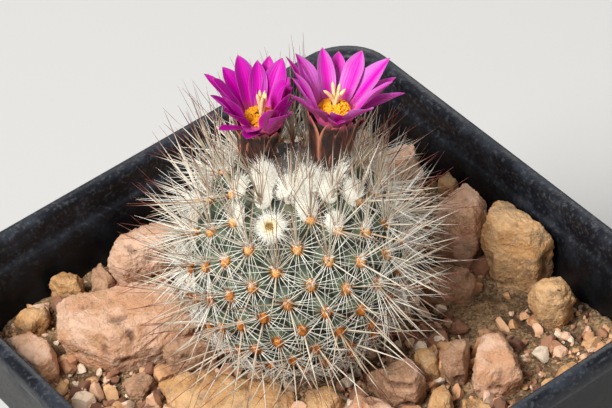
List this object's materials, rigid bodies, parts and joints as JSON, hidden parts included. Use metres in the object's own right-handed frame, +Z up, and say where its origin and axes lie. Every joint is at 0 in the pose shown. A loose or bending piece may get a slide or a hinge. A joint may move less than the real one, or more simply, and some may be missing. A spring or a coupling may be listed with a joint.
{
  "type": "potted cactus",
  "caption": "Globular spined cactus with magenta flowers at its crown, in a square tapered plastic pot filled with soil and dressed with broken stone.",
  "frame": {"origin": "centre of the pot's underside, on the surface it stands on", "axes": "+Z up; X and Y along the pot's square sides, the picture's camera looking from -X -Y and above"},
  "size_m": [0.09, 0.09, 0.1299],
  "materials": {
    "black_plastic": "moulded, dusty and scuffed at the rim",
    "potting_grit": "loose brown grit",
    "pink_stone": "rough broken limestone",
    "ochre_stone": "rough broken limestone",
    "brown_stone": "rough broken stone",
    "green_stem": "dull waxy skin with pale spines",
    "white_wool": "felted wool",
    "bud_skin": "woolly",
    "maroon_tube": "smooth, scales with paler edges",
    "magenta_tepal": "silky, darker stripe along the middle",
    "yellow_anther": "dusty pollen",
    "cream_stigma": "velvety"
  },
  "bodies": {
    "root": {"back_stone_1": "ochre_stone", "back_stone_2": "brown_stone", "back_stone_3": "pink_stone", "back_stone_4": "ochre_stone", "back_stone_5": "brown_stone", "cactus_stem": "green_stem", "crown_wool": "white_wool", "crusty_lump": "brown_stone", "far_left_chip": "brown_stone", "far_left_slab": "pink_stone", "far_right_stone": "pink_stone", "front_brown_stone": "brown_stone", "front_ochre_block": "ochre_stone", "front_ochre_slab": "ochre_stone", "front_olive_stone": "ochre_stone", "front_pale_stone": "pink_stone", "front_polygon_stone": "pink_stone", "front_shard": "brown_stone", "front_slab": "ochre_stone", "front_wedge": "ochre_stone", "left_corner_chip": "ochre_stone", "left_corner_stone": "pink_stone", "left_dark_chip": "brown_stone", "left_flake": "ochre_stone", "left_flower_anthers": "yellow_anther", "left_flower_stigma": "cream_stigma", "left_flower_tepals": "magenta_tepal", "left_flower_tube": "maroon_tube", "left_grey_chip": "brown_stone", "left_slab": "pink_stone", "near_stone_1": "ochre_stone", "near_stone_2": "brown_stone", "near_stone_3": "pink_stone", "near_stone_4": "ochre_stone", "near_stone_5": "brown_stone", "near_stone_6": "pink_stone", "near_stone_7": "ochre_stone", "pot": "black_plastic", "potting_soil": "potting_grit", "right_block": "ochre_stone", "right_brown_stone": "brown_stone", "right_flower_anthers": "yellow_anther", "right_flower_stigma": "cream_stigma", "right_flower_tepals": "magenta_tepal", "right_flower_tube": "maroon_tube", "right_ochre_stone": "ochre_stone", "right_slab": "pink_stone", "right_wall_pebble": "ochre_stone", "young_bud": "bud_skin"}
  },
  "joints": []
}
